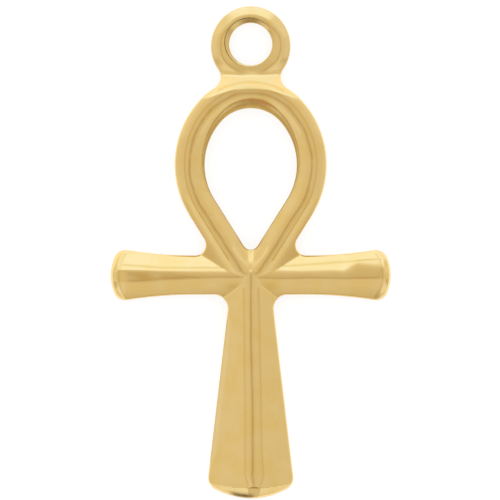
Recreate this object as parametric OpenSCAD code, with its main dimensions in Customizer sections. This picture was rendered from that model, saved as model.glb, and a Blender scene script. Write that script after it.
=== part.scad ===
// Ankh pendant, cast in one piece with a flat back.
// It lies on its back: +Z is its front, +Y its top, where the eye for a jump ring is.
// Each limb is a bar with a rounded crest and two sloping flanks. The flanks meet in valleys at the crossing.

/* [Relief] */
// Height of the crests above the flat back
crest_h = 2.5; // [2.2:0.1:3.2]

/* [Leg] */
// From the middle of the crossing to the end of the foot
leg_length = 15.95; // [13:0.05:19]
// Width of the leg at the crossing
leg_root_w = 2.7; // [2.4:0.05:3.3]
// Width that the leg reaches at its foot, where its corners are rounded off
leg_foot_w = 6.45; // [5:0.05:7.5]
// Radius of the curved end of the foot, in plan
foot_end_r = 5.5; // [5:0.1:10]
// Radius of the foot's two corners, in plan
foot_corner_r = 0.95; // [0.3:0.05:1.2]
// Length of the bevel at the end of the foot
foot_bevel = 0.95; // [0.5:0.05:1.2]
// Slope of the leg's flanks
leg_slope = 22; // [12:1:26]
// Radius of the leg's crest
leg_crest_r = 1.6; // [0.6:0.1:2.2]

/* [Arms] */
// From the middle of the crossing to the end of each arm
arm_reach = 10; // [8.5:0.1:12]
// Width of the arms at the crossing
arm_root_w = 2.8; // [2.3:0.05:3]
// Width that the arms reach at their ends, where their corners are rounded off
arm_end_w = 4; // [3.2:0.05:4.4]
// Radius of the curved end of each arm, in plan
arm_end_r = 3.4; // [3:0.1:6]
// Radius of the arms' corners, in plan
arm_corner_r = 0.85; // [0.3:0.05:1]
// Length of the bevel at the end of each arm
arm_bevel = 0.62; // [0.4:0.02:0.9]
// Slope of the arms' flanks
arm_slope = 28; // [18:1:32]
// How much lower the arms' crest lies than the leg's and the loop's
arm_drop = 0.06; // [0.04:0.01:0.2]
// Radius of the arms' crest
arm_crest_r = 1.8; // [0.6:0.1:2.2]

/* [Loop] */
// Outer width of the loop
loop_w = 10.85; // [10.2:0.05:12]
// Height of the loop's widest place above the crossing
loop_rise = 7.9; // [7:0.05:9.5]
// Outer radius over the top of the loop
loop_top_r = 4.95; // [4.5:0.05:5.1]
// Outer radius of the loop's two sides
loop_side_r = 6.8; // [6.4:0.1:8]
// How far below the middle of the crossing the crests of the loop's two limbs would meet
limb_sink = 0.7; // [0.3:0.05:1]
// Width of the loop's band
band_w = 2.12; // [1.8:0.02:2.4]
// Slope of the band's flanks
band_slope = 33; // [20:1:36]
// Radius of the band's crest
band_crest_r = 1; // [0.5:0.1:1.4]

/* [Eye] */
// Outer radius of the eye
eye_r = 2.85; // [2.5:0.05:3.2]
// Radius of the hole for a jump ring
hole_r = 1.55; // [1.2:0.05:1.7]
// Width of the countersink round the front of the hole
countersink_w = 0.28; // [0.1:0.02:0.4]
// Depth of the countersink
countersink_depth = 0.4; // [0.2:0.05:0.7]
// How far the hole sits above the middle of the eye
hole_lift = 0.16; // [0:0.02:0.3]
// Thickness of the eye
eye_t = 1.55; // [1.2:0.05:1.8]
// How far the eye sinks into the top of the loop
eye_sink = 0.55; // [0.3:0.05:0.9]
// Width of the bevel round the front of the eye
eye_bevel = 0.5; // [0.2:0.05:0.6]
// Slope of that bevel
eye_slope = 28; // [15:1:40]

/* [Corners] */
// Radius of the corners between the arms and the loop, in plan
fillet_r = 0.78; // [0.4:0.02:1]
// Radius of the corners between the arms and the leg, in plan
leg_fillet_r = 1; // [0.4:0.02:1.2]
// Radius of the point at the bottom of the loop's opening, in plan
point_r = 0.6; // [0.3:0.05:0.8]
// Radius of the neck between the loop and the eye, in plan
neck_r = 1; // [0.7:0.05:1.2]

/* [Hidden] */
gold = "#DDBD78";

// The relief is drawn this far past the back, and every cut this far past the metal.
pass = 1;
// Where one surface runs smoothly into the next, it lies this much inside it, so that the two cross cleanly.
hair = 0.004;
// The loop's arcs run this many degrees into its other stretches.
lap_deg = 0.5;
$fn = 180;

function unit(v) = v / norm(v);

// The points, followed by their mirror images back to the start.
function twinned(points) =
    concat(points, [for (i = [len(points) - 1:-1:0]) [-points[i][0], points[i][1]]]);

// The point at distance ra from a and rb from b, to the right on the way from a to b.
function meet(a, ra, b, rb) =
    let (d = norm(b - a), u = unit(b - a), t = (d * d + ra * ra - rb * rb) / (2 * d))
    a + t * u + sqrt(ra * ra - t * t) * [u[1], -u[0]];

// Height of a flank's plane at distance d from a crest line of height crest_z.
function flank_z(d, slope, crest_r, crest_z) =
    crest_z - hair - crest_r + crest_r / cos(slope) - d * tan(slope);

// The loop's crest line: an arc over the top, an arc down each side, and two straight limbs.
crest_half_w = (loop_w - band_w) / 2;
crest_top_r = loop_top_r - band_w / 2;
crest_side_r = loop_side_r - band_w / 2;
side_x = crest_side_r - crest_half_w;
top_lift = sqrt(pow(crest_side_r - crest_top_r, 2) - pow(side_x, 2));
top = [0, loop_rise + top_lift];
// The side arcs run from the straight limbs, at -limb_deg, to the top arc, at join_deg.
join_deg = atan2(top_lift, side_x);
limb_start = [0, -limb_sink];
side = [-side_x, loop_rise];
limb_deg = asin(crest_side_r / norm(side - limb_start)) - atan2(side_x, loop_rise + limb_sink);
limb_end = side + crest_side_r * [cos(limb_deg), -sin(limb_deg)];

// The eye, and the centre of the arc that makes the right side of the neck.
eye = top + [0, loop_top_r - eye_sink + eye_r];
neck = meet(top, loop_top_r + neck_r, eye, eye_r + neck_r);

// Corners where the limbs meet: the centre of the arc on the right, above and below the arm.
arm_root_y = arm_root_w / 2;
leg_deg = atan((leg_foot_w - leg_root_w) / 2 / leg_length);
leg_out = [cos(leg_deg), sin(leg_deg)];
limb_out = [cos(limb_deg), -sin(limb_deg)];
high_y = arm_root_y + fillet_r;
high = [(high_y + limb_sink) * tan(limb_deg) + (band_w / 2 + fillet_r) / cos(limb_deg), high_y];
low_y = arm_root_y + leg_fillet_r;
low = [leg_root_w / 2 + low_y * tan(leg_deg) + leg_fillet_r / cos(leg_deg), -low_y];

// The arm widens along an arc that starts past the corners.
flare = (arm_end_w - arm_root_w) / 2;
flare_x = max(high[0], low[0]);
flare_r = (pow(arm_reach - flare_x, 2) + pow(flare, 2)) / (2 * flare);
flare_mid = [flare_x, arm_root_y + flare_r];
arm_end = [arm_reach - arm_end_r, 0];
arm_corner = meet(arm_end, arm_end_r - arm_corner_r, flare_mid, flare_r + arm_corner_r);

// The foot's corner arc touches the leg's side and the curved end.
foot_end = [0, foot_end_r - leg_length];
foot_deg = acos((leg_root_w / 2 * cos(leg_deg) - foot_corner_r - foot_end[1] * sin(leg_deg))
    / (foot_end_r - foot_corner_r)) - leg_deg;
foot_out = [cos(foot_deg), -sin(foot_deg)];
foot_corner = foot_end + (foot_end_r - foot_corner_r) * foot_out;

// The origin is halfway along the pendant, so the crossing is lifted by this much.
overall_length = leg_length + eye[1] + eye_r;
crossing_y = leg_length - overall_length / 2;

// Draws its children again, mirrored left to right.
module both_sides() {
    for (m = [0, 1]) mirror([m, 0, 0]) children();
}

// A sector of a circle, half_deg to each side of +X.
module sector(r, half_deg) {
    reach = 2 * r * [cos(half_deg), sin(half_deg)];
    intersection() {
        circle(r);
        polygon([[0, 0], reach, [reach[0], -reach[1]]]);
    }
}

// The outline of the loop's crest line moved outwards by out, with a rounded point at the bottom.
module teardrop(out) {
    tip = limb_start + [0, (point_r - out) / sin(limb_deg)];
    level = top[1] + (crest_top_r + out) * sin(join_deg);
    translate(top) circle(crest_top_r + out + hair);
    intersection() {
        translate(side) circle(crest_side_r + out);
        translate([side_x, loop_rise]) circle(crest_side_r + out);
        translate([-loop_w, level - 2 * loop_w]) square(2 * loop_w);
    }
    translate(tip) circle(point_r);
    polygon(twinned([tip + (point_r - hair) * limb_out, limb_end + (out - hair) * limb_out]));
}

// Raises each child by itself to a slab higher than the relief, whose outline the metal then takes.
module slabs() {
    for (i = [0:$children - 1]) linear_extrude(crest_h + pass) children(i);
}

module leg_slabs() {
    foot_side = foot_corner + foot_corner_r * leg_out;
    slabs() {
        polygon(twinned([[leg_root_w / 2, 0], foot_side, foot_corner]));
        translate(foot_end) rotate(-90) sector(foot_end_r, 90 - foot_deg);
    }
    both_sides() slabs() translate(foot_corner) circle(foot_corner_r + hair);
}

module arm_slabs() {
    arm_side = arm_corner + arm_corner_r * unit(flare_mid - arm_corner);
    upper = twinned([arm_corner, arm_side, [flare_x, arm_side[1]], [flare_x, arm_root_y]]);
    slabs() difference() {
        polygon(concat(upper, [for (i = [len(upper) - 1:-1:0]) [upper[i][0], -upper[i][1]]]));
        both_sides() for (m = [0, 1]) mirror([0, m, 0]) translate(flare_mid) circle(flare_r + hair);
    }
    both_sides() {
        for (m = [0, 1]) mirror([0, m, 0]) slabs() translate(arm_corner) circle(arm_corner_r + hair);
        slabs() translate(arm_end) sector(arm_end_r, atan2(arm_corner[1], arm_corner[0] - arm_end[0]));
    }
}

// Fills the corners where the limbs meet.
module corner_slabs() {
    both_sides() slabs() {
        difference() {
            polygon([[0, 0], [high[0], arm_root_y], high, high - fillet_r * limb_out]);
            translate(high) circle(fillet_r + 2 * hair);
        }
        difference() {
            polygon([[0, 0], [low[0], -arm_root_y], low, low - leg_fillet_r * leg_out]);
            translate(low) circle(leg_fillet_r + 2 * hair);
        }
    }
}

module eye_slabs() {
    slabs() {
        translate(eye) circle(eye_r);
        difference() {
            polygon([top, neck, eye, [-neck[0], neck[1]]]);
            both_sides() translate(neck) circle(neck_r + 2 * hair);
        }
    }
}

// Section of a limb: a rounded crest over two flanks that reach half_w to each side.
module limb_section(half_w, slope, crest_r, crest_z) {
    round_w = crest_r * sin(slope);
    round_z = flank_z(round_w, slope, crest_r, crest_z);
    edge_z = flank_z(half_w, slope, crest_r, crest_z);
    polygon([
        [-half_w, -pass], [half_w, -pass], [half_w, edge_z],
        [round_w, round_z], [-round_w, round_z], [-half_w, edge_z]]);
    translate([0, crest_z - crest_r]) circle(crest_r);
}

// The relief is drawn wider than the limbs, so that it also covers the corners between them.
module band_section(inside = 0) {
    limb_section(band_w / 2 + neck_r - inside, band_slope, band_crest_r, crest_h - inside);
}

module loop() {
    translate(top) rotate(join_deg) rotate_extrude(angle = 180 - 2 * join_deg)
        translate([crest_top_r, 0]) band_section();
    both_sides() {
        translate(side) rotate(-limb_deg - lap_deg) rotate_extrude(angle = limb_deg + join_deg + 2 * lap_deg)
            translate([crest_side_r, 0]) band_section(hair);
        translate(limb_end) rotate([90, 0, -limb_deg])
            linear_extrude(norm(limb_end - limb_start)) band_section();
    }
}

// A round hill about a limb's curved end: its side is the bevel, end_z high at the end itself.
module end_hill(end_r, bevel, end_z, crest_z) {
    run = bevel / (crest_z - end_z);
    translate([0, 0, -pass])
        cylinder(h = crest_z + 2 * pass, r1 = end_r + run * (end_z + pass), r2 = end_r - bevel - run * pass);
}

module leg() {
    half_w = leg_foot_w / 2 + leg_fillet_r;
    end_z = flank_z(leg_foot_w / 2, leg_slope, leg_crest_r, crest_h);
    intersection() {
        rotate([90, 0, 0]) linear_extrude(leg_length + pass)
            limb_section(half_w, leg_slope, leg_crest_r, crest_h);
        union() {
            translate(foot_end) end_hill(foot_end_r, foot_bevel, end_z, crest_h);
            translate([-half_w - pass, foot_end[1], -2 * pass])
                cube([2 * (half_w + pass), -foot_end[1] + pass, crest_h + 4 * pass]);
        }
    }
}

module arms() {
    half_w = arm_end_w / 2 + leg_fillet_r;
    crest_z = crest_h - arm_drop;
    end_z = flank_z(arm_end_w / 2, arm_slope, arm_crest_r, crest_z);
    intersection() {
        rotate([90, 0, 90]) translate([0, 0, -arm_reach - pass]) linear_extrude(2 * (arm_reach + pass))
            limb_section(half_w, arm_slope, arm_crest_r, crest_z);
        union() {
            both_sides() translate(arm_end) end_hill(arm_end_r, arm_bevel, end_z, crest_z);
            translate([-arm_end[0], -half_w - pass, -2 * pass])
                cube([2 * arm_end[0], 2 * (half_w + pass), crest_h + 4 * pass]);
        }
    }
}

// The eye's front is flat with a bevelled rim, and goes on past it to cover the neck.
module eye_disc() {
    rim_z = eye_t - eye_bevel * tan(eye_slope);
    translate(eye) rotate_extrude() polygon([
        [0, -pass], [eye_r + neck_r, -pass], [eye_r + neck_r, rim_z],
        [eye_r, rim_z], [eye_r - eye_bevel, eye_t], [0, eye_t]]);
}

module hole() {
    spread = countersink_w / countersink_depth;
    translate([0, eye[1] + hole_lift, -pass]) cylinder(h = crest_h + 2 * pass, r = hole_r);
    translate([0, eye[1] + hole_lift, eye_t - countersink_depth])
        cylinder(h = countersink_depth + pass, r1 = hole_r, r2 = hole_r + spread * (countersink_depth + pass));
}

module ankh() {
    color(gold) translate([0, crossing_y, 0]) difference() {
        intersection() {
            union() {
                slabs() teardrop(band_w / 2);
                eye_slabs();
                arm_slabs();
                leg_slabs();
                corner_slabs();
            }
            union() {
                loop();
                leg();
                arms();
                eye_disc();
            }
        }
        translate([0, 0, -pass]) linear_extrude(crest_h + 2 * pass) teardrop(-band_w / 2);
        hole();
    }
}

ankh();
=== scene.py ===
"""Looks of the ankh pendant: a polished gold casting that lies on its flat back, seen from above.

The metal is one dense mesh. Its outline is the outline of part.scad, and its front is the height of
the same limbs, blended where they meet and rounded at the edges. Lengths are in millimetres until
the mesh is made. x runs to the right and y towards the eye, both from the crossing of the limbs.
"""

import math

import bpy
import numpy as np
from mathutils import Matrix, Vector
from mathutils.geometry import delaunay_2d_cdt
from mathutils.kdtree import KDTree


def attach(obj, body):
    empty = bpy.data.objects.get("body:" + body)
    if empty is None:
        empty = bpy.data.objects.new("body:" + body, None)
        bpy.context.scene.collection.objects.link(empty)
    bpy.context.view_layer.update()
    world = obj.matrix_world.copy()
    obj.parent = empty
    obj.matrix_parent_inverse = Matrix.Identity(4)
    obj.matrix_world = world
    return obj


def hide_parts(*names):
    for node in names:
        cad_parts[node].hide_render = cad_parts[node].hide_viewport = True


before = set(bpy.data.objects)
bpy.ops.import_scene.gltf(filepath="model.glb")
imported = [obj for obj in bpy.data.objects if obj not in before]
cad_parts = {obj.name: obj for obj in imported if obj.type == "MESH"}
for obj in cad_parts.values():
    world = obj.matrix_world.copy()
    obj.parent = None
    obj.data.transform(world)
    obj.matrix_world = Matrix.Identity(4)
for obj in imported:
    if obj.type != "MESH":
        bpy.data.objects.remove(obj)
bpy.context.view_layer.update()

MM = 0.001

# The dimensions that part.scad also has.
CREST_H = 2.5
LEG_LENGTH, LEG_ROOT_W, LEG_FOOT_W = 15.95, 2.7, 6.45
FOOT_END_R, FOOT_CORNER_R = 5.5, 0.95
LEG_SLOPE = 22
ARM_REACH, ARM_ROOT_W, ARM_END_W = 10, 2.8, 4
ARM_END_R, ARM_CORNER_R = 3.4, 0.85
ARM_DROP = 0.06
LOOP_W, LOOP_RISE, LOOP_TOP_R, LOOP_SIDE_R = 10.85, 7.9, 4.95, 6.8
LIMB_SINK, BAND_W = 0.7, 2.12
EYE_R, HOLE_R, HOLE_LIFT = 2.85, 1.55, 0.16
EYE_T, EYE_SINK = 1.55, 0.55
FILLET_R, LEG_FILLET_R, POINT_R, NECK_R = 0.78, 1, 0.6, 1


def tan_deg(degrees):
    return math.tan(math.radians(degrees))


def heading(degrees):
    """Cosine and sine: the direction at an angle."""
    return np.array([math.cos(math.radians(degrees)), math.sin(math.radians(degrees))])


def angle_of(v):
    return math.degrees(math.atan2(v[1], v[0]))


def meet(a, ra, b, rb):
    """The point at distance ra from a and rb from b, to the right on the way from a to b."""
    d = np.linalg.norm(b - a)
    u = (b - a) / d
    t = (d * d + ra * ra - rb * rb) / (2 * d)
    return a + t * u + math.sqrt(ra * ra - t * t) * np.array([u[1], -u[0]])


# The loop's crest line, the neck and the centres of the outline's arcs, worked out as in part.scad.
crest_half_w = (LOOP_W - BAND_W) / 2
crest_top_r = LOOP_TOP_R - BAND_W / 2
crest_side_r = LOOP_SIDE_R - BAND_W / 2
side_x = crest_side_r - crest_half_w
top_lift = math.sqrt((crest_side_r - crest_top_r) ** 2 - side_x**2)
top = np.array([0, LOOP_RISE + top_lift])
join_deg = math.degrees(math.atan2(top_lift, side_x))
limb_start = np.array([0, -LIMB_SINK])
side = np.array([-side_x, LOOP_RISE])
limb_deg = math.degrees(
    math.asin(crest_side_r / np.linalg.norm(side - limb_start))
    - math.atan2(side_x, LOOP_RISE + LIMB_SINK)
)
limb_out = heading(-limb_deg)
limb_end = side + crest_side_r * limb_out
eye = top + [0, LOOP_TOP_R - EYE_SINK + EYE_R]
hole = eye + [0, HOLE_LIFT]
neck = meet(top, LOOP_TOP_R + NECK_R, eye, EYE_R + NECK_R)
arm_root_y = ARM_ROOT_W / 2
leg_deg = math.degrees(math.atan((LEG_FOOT_W - LEG_ROOT_W) / 2 / LEG_LENGTH))
leg_out = heading(leg_deg)
high_y = arm_root_y + FILLET_R
high_x = (high_y + LIMB_SINK) * tan_deg(limb_deg) + (BAND_W / 2 + FILLET_R) / limb_out[0]
high = np.array([high_x, high_y])
low_y = arm_root_y + LEG_FILLET_R
low_x = LEG_ROOT_W / 2 + low_y * tan_deg(leg_deg) + LEG_FILLET_R / leg_out[0]
low = np.array([low_x, -low_y])
flare = (ARM_END_W - ARM_ROOT_W) / 2
flare_x = max(high_x, low_x)
flare_r = ((ARM_REACH - flare_x) ** 2 + flare**2) / (2 * flare)
flare_mid = np.array([flare_x, arm_root_y + flare_r])
arm_end = np.array([ARM_REACH - ARM_END_R, 0])
arm_corner = meet(arm_end, ARM_END_R - ARM_CORNER_R, flare_mid, flare_r + ARM_CORNER_R)
foot_end = np.array([0, FOOT_END_R - LEG_LENGTH])
corner_reach = LEG_ROOT_W / 2 * leg_out[0] - FOOT_CORNER_R - foot_end[1] * leg_out[1]
foot_deg = math.degrees(math.acos(corner_reach / (FOOT_END_R - FOOT_CORNER_R))) - leg_deg
foot_corner = foot_end + (FOOT_END_R - FOOT_CORNER_R) * heading(-foot_deg)
crossing_y = LEG_LENGTH - (LEG_LENGTH + eye[1] + EYE_R) / 2  # in the CAD's frame

# ---------------------------------------------------------------- outline

STEP = 0.085  # between points along the outline
ARC_STEP_DEG = 5  # the most that an arc turns between points
SAME = 0.2 * STEP  # points closer than this are one
JOIN_GAP = 1e-6  # keeps a straight edge of no length from vanishing
KEEP_IN = 0.006  # how far the outer outline stays inside the CAD's


def arc(centre, r, start, end, hollow=False):
    """Points along an arc without its last, each with the direction that leads out of the metal."""
    turn = abs(end - start)
    count = max(2, math.ceil(math.radians(turn) * r / STEP), math.ceil(turn / ARC_STEP_DEG))
    a = np.radians(np.linspace(start, end, count, endpoint=False))
    out = np.stack([np.cos(a), np.sin(a)], 1)
    return np.hstack([centre + r * out, -out if hollow else out])


def line(a, b, out):
    """Points along a straight edge without its last."""
    count = max(1, math.ceil(np.linalg.norm(b - a) / STEP))
    t = np.linspace(0, 1, count, endpoint=False)[:, None]
    return np.hstack([a + t * (b - a), np.tile(out, (count, 1))])


def closed(right):
    """The right half, from bottom to top, and its mirror image back down, each point once."""
    loop = np.vstack([right, right[::-1] * [-1, 1, -1, 1]])
    apart = np.linalg.norm(loop[:, :2] - np.roll(loop[:, :2], 1, 0), axis=1)
    return loop[apart > SAME]


def outer_outline():
    up, down = np.array([0, 1]), np.array([0, -1])
    low_flare_mid, low_corner = flare_mid * [1, -1], arm_corner * [1, -1]
    flare_end = angle_of(arm_corner - flare_mid)
    corner_end = angle_of(arm_corner - arm_end)
    to_neck, from_eye = angle_of(neck - top), angle_of(neck - eye)
    foot_side = foot_corner + FOOT_CORNER_R * leg_out
    high_side = high - FILLET_R * limb_out
    arm_foot, arm_head = [np.array([flare_x + JOIN_GAP, s * arm_root_y]) for s in (-1, 1)]
    parts = [
        arc(foot_end, FOOT_END_R, -90, -foot_deg),
        arc(foot_corner, FOOT_CORNER_R, -foot_deg, leg_deg),
        line(foot_side, low - LEG_FILLET_R * leg_out, leg_out),
        arc(low, LEG_FILLET_R, 180 + leg_deg, 90, hollow=True),
        line(low + [0, LEG_FILLET_R], arm_foot, down),
        arc(low_flare_mid, flare_r, 90, -flare_end, hollow=True),
        arc(low_corner, ARM_CORNER_R, -flare_end - 180, -corner_end),
        arc(arm_end, ARM_END_R, -corner_end, corner_end),
        arc(arm_corner, ARM_CORNER_R, corner_end, flare_end + 180),
        arc(flare_mid, flare_r, flare_end, -90, hollow=True),
        line(arm_head, high - [0, FILLET_R], up),
        arc(high, FILLET_R, 270, 180 - limb_deg, hollow=True),
        line(high_side, limb_end + BAND_W / 2 * limb_out, limb_out),
        arc(side, LOOP_SIDE_R, -limb_deg, join_deg),
        arc(top, LOOP_TOP_R, join_deg, to_neck),
        arc(neck, NECK_R, to_neck + 180, from_eye + 180, hollow=True),
        arc(eye, EYE_R, from_eye, 90),
        np.hstack([eye + [0, EYE_R], up])[None],
    ]
    outline = closed(np.vstack(parts))
    outline[:, :2] -= KEEP_IN * outline[:, 2:]
    return outline


def loop_outline():
    """The loop's opening. The metal lies outside it."""
    tip = limb_start - [0, (POINT_R + BAND_W / 2) / limb_out[1]]
    parts = [
        arc(tip, POINT_R, -90, -limb_deg),
        line(tip + POINT_R * limb_out, limb_end - BAND_W / 2 * limb_out, limb_out),
        arc(side, LOOP_SIDE_R - BAND_W, -limb_deg, join_deg),
        arc(top, LOOP_TOP_R - BAND_W, join_deg, 90),
        np.hstack([top + [0, LOOP_TOP_R - BAND_W], [0, 1]])[None],
    ]
    return (closed(np.vstack(parts)) * [1, 1, -1, -1])[::-1]


def hole_outline():
    return arc(hole, HOLE_R, -90, 270, hollow=True)[::-1]


# ---------------------------------------------------------------- relief

CREST = CREST_H - 0.036  # the blends where limbs meet rise up to CREST_H
VALLEY = 0.05  # the blend in the valleys between limbs

# The loop: slope and crest radius of its flanks, and how a limb ends at the crossing. Between the
# heights LIMBS_PART the blend of the two limbs stops.
OUTER_SLOPE, OUTER_R = 36, 2.0
INNER_SLOPE, INNER_R = 22, 1.3
LIMB_END_Y, LIMB_END_SLOPE, LIMB_END_BEND = -0.02, 0.45, 0.2
LIMBS_PART, OUT_OF_REACH = (3.2, 4.2), 3

# The bright facet in the point of the opening. It falls from one height to another, in a trough
# that widens on its way.
NOTCH_START, NOTCH_END, NOTCH_END_BEND = 0.5, 1.95, 0.25
NOTCH_DEPTH, NOTCH_SLOPE = 0.15, 0.47
NOTCH_HALF_W, NOTCH_WIDENS = 0.1, 0.1
NOTCH_WALL_SLOPE, NOTCH_WALL_BEND = 0.7, 0.22
NOTCH_BLEND, NOTCH_REACH = 0.1, 3.5

# The bright facet between loop and eye.
FACET_TOP, FACET_SLOPE = 13.40, 0.88
FACET_DEPTH, FACET_CURVE, FACET_BLEND = 0.07, 0.075, 0.08

# The eye: the radius of its crest line and of the crest itself, and the slopes to both sides. Near
# its top and near the neck the crest line moves in.
EYE_CREST_RHO, EYE_CREST_R = 2.15, 0.7
EYE_SLOPE, EYE_INNER_SLOPE = 26, 7
EYE_UPPER, EYE_UPPER_SHIFT, EYE_UPPER_MORE_R = (0.6, 1.8), 0.2, 0.15
EYE_LOWER, EYE_LOWER_SHIFT = (0.8, 1.8), 0.18
EYE_BLEND = 0.3

# The leg's raised bead: its crest and the fine lines beside it, at heights along the leg.
BEAD_Y = np.array([-15.13, -14.9, -14.3, -12.6, -9.0, -4.0, 0.0])
BEAD_LEFT = np.array([-0.12, -0.22, -0.38, -0.37, -0.38, -0.44, -0.48])
BEAD_CREST = np.array([0.25, 0.22, 0.12, 0.13, 0.12, 0.0, 0.0])
BEAD_RIGHT = np.array([0.64, 0.72, 0.88, 0.76, 0.70, 0.60, 0.52])
LEG_TIP = 1.4  # the leg falls off this much faster beyond the crossing than to its sides

# The rounded ends of foot and arms: how wide they are, from which slope to which they bend, and
# where the foot's is centred.
FOOT_ROUND, FOOT_BEND, FOOT_CENTRE_Y = 0.75, (24, 37), -3.2
ARM_ROUND, ARM_BEND = 0.61, (6, 37)

# The flat tab in the middle of the foot's end.
TAB_LEFT, TAB_RIGHT, TAB_TOP = -0.21, 0.69, -15.13
TAB_SLOPE, TAB_DEPTH, TAB_LIP, TAB_BLEND = 25, 0.075, 0.09, 0.01

# The arms, at places from left to right: the crease where the lower flank starts, the line where
# the upper flank starts, and the radius of the bend into it.
ARM_CREASE = (-8.2, -5, -2, 2), (-0.47, -0.30, -0.14, -0.25)
ARM_LEVEL = (-8.2, -6, -3.5, 0), (0.20, 0.12, -0.20, -0.25)
ARM_BEND_R = (-6, -3.5, 3.5, 6.6, 7.6), (0.5, 1.3, 1.6, 1.6, 3.1)
ARM_UPPER_SLOPE, ARM_LOWER_SLOPE = 28.5, 11
ARM_LOWER_BEND, ARM_LOWER_R = 0.05, 3.2
ARM_CREST_TILT, ARM_CREST_BEND = 0.06, 0.3
LEFT_END_X, LEFT_END_TILT, LEFT_END_BEND = -8.9, 0.1, 0.2

# The fine lines: their section, how far out of the crest line they run on the loop and the neck,
# their heights along the arms, and where each starts or ends.
GROOVE_W, GROOVE_DEPTH = 0.05, 0.014
LOOP_LINE, LOOP_LINE_FROM = 0.33, 1.0
NECK_LINE, NECK_LINE_TO = 0.76, 2.4
ARM_LINE = (-9.3, -6.6, -2.0, 2.8, 9.1), (0.75, 0.54, 0.50, 0.66, 1.12)
ARM_LINE_FROM, ARM_LINE_TO, END_LINE_TO = 1.9, ARM_REACH - ARM_ROUND - 0.1, 1.56
BEAD_LINES_FROM, BEAD_LINES_TO = -14.95, -0.9
PAST_END = 0.1  # how far the lines of loop and tab run past the facet's or the tab's edge
NOT_HERE = 9  # added to the distance where a line isn't drawn
LOOP_TOP_FADE, LOOP_TOP_FADES = 0.6, (11.0, 12.8)  # the lines are shallower on the loop's top
ARM_FADE, ARM_FADES_X, ARM_FADES_Y = 0.4, (1.2, 2.4), (-0.5, 0.5)  # and on the arms' upper side

# Faint unevenness left by polishing: part of the size, turn per millimetre across and up, phase.
WAVE_SIZE, LEG_CALMER, LEG_CALMS = 0.0045, 0.0025, (1.5, 3.0)
WAVES = (
    (1, 2.1, 0.7, 1.0),
    (1, -1.3, 2.6, 0.4),
    (0.6, 3.7, -1.9, 0),
    (0.5, 1.1, 4.3, 2.2),
    (0.35, 1.7, 7.9, 0.9),
)


def soft_max(a, b, k):
    """The larger of two heights, rounded off where they differ by less than k."""
    return np.maximum(a, b) + np.maximum(k - np.abs(a - b), 0) ** 2 / (4 * k)


def soft_min(a, b, k):
    return -soft_max(-a, -b, k)


def soft_ramp(d, slope, k):
    """0 below d = 0 and slope * d above it, bending over a width of about k."""
    return slope * (d + np.sqrt(d * d + k * k)) / 2


def step(x, a, b):
    """0 at a, 1 at b, smooth between them."""
    t = np.clip((x - a) / (b - a), 0, 1)
    return t * t * (3 - 2 * t)


def roof(d, slope, crest_r, crest_z):
    """Height of a limb's section at distance d from its crest line."""
    s = math.radians(slope)
    flank = crest_z - crest_r + crest_r / math.cos(s) - np.abs(d) * math.tan(s)
    crest = crest_z - crest_r + np.sqrt(np.maximum(crest_r**2 - d * d, 0))
    return np.where(np.abs(d) < crest_r * math.sin(s), crest, flank)


def rounding(past, width, start_deg, end_deg):
    """How far a rounded end has fallen, past its start, as it bends from one slope to another."""
    p = np.maximum(past, 0)
    return tan_deg(start_deg) * p + p * p * (tan_deg(end_deg) - tan_deg(start_deg)) / (2 * width)


def loop_offset(x, y):
    """Signed distance outwards from the right half of the loop's crest line."""
    from_top = np.hypot(x - top[0], y - top[1]) - crest_top_r
    from_side = np.hypot(x - side[0], y - side[1]) - crest_side_r
    from_limb = (x - limb_end[0]) * limb_out[0] + (y - limb_end[1]) * limb_out[1]
    bearing = np.degrees(np.arctan2(y - side[1], x - side[0]))
    above_limb = np.where(bearing < join_deg, from_side, from_top)
    return np.where(bearing < -limb_deg, from_limb, above_limb)


def half_loop(x, y):
    """The right half of the loop: a band with a round outer half and a flatter inner flank."""
    d = loop_offset(x, y)
    outer, inner = roof(d, OUTER_SLOPE, OUTER_R, CREST), roof(d, INNER_SLOPE, INNER_R, CREST)
    return np.where(d > 0, outer, inner) - soft_ramp(LIMB_END_Y - y, LIMB_END_SLOPE, LIMB_END_BEND)


def loop_height(x, y):
    """Both halves of the loop, with the facet in its point and the one above its top."""
    near, far = half_loop(np.abs(x), y), half_loop(-np.abs(x), y)
    z = soft_max(near, far - OUT_OF_REACH * step(y, *LIMBS_PART), VALLEY)
    past = y - NOTCH_START - soft_ramp(y - NOTCH_END, 1, NOTCH_END_BEND)
    outside = np.abs(x) - NOTCH_HALF_W - NOTCH_WIDENS * past
    wall = soft_ramp(outside, NOTCH_WALL_SLOPE, NOTCH_WALL_BEND)
    notch = CREST - NOTCH_DEPTH - NOTCH_SLOPE * past + wall
    z = np.where(y < NOTCH_REACH, soft_min(z, notch, NOTCH_BLEND), z)
    facet = CREST - FACET_DEPTH - FACET_CURVE * x**2 - FACET_SLOPE * (y - FACET_TOP)
    return np.where(y > top[1], soft_min(z, facet, FACET_BLEND), z)


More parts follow.
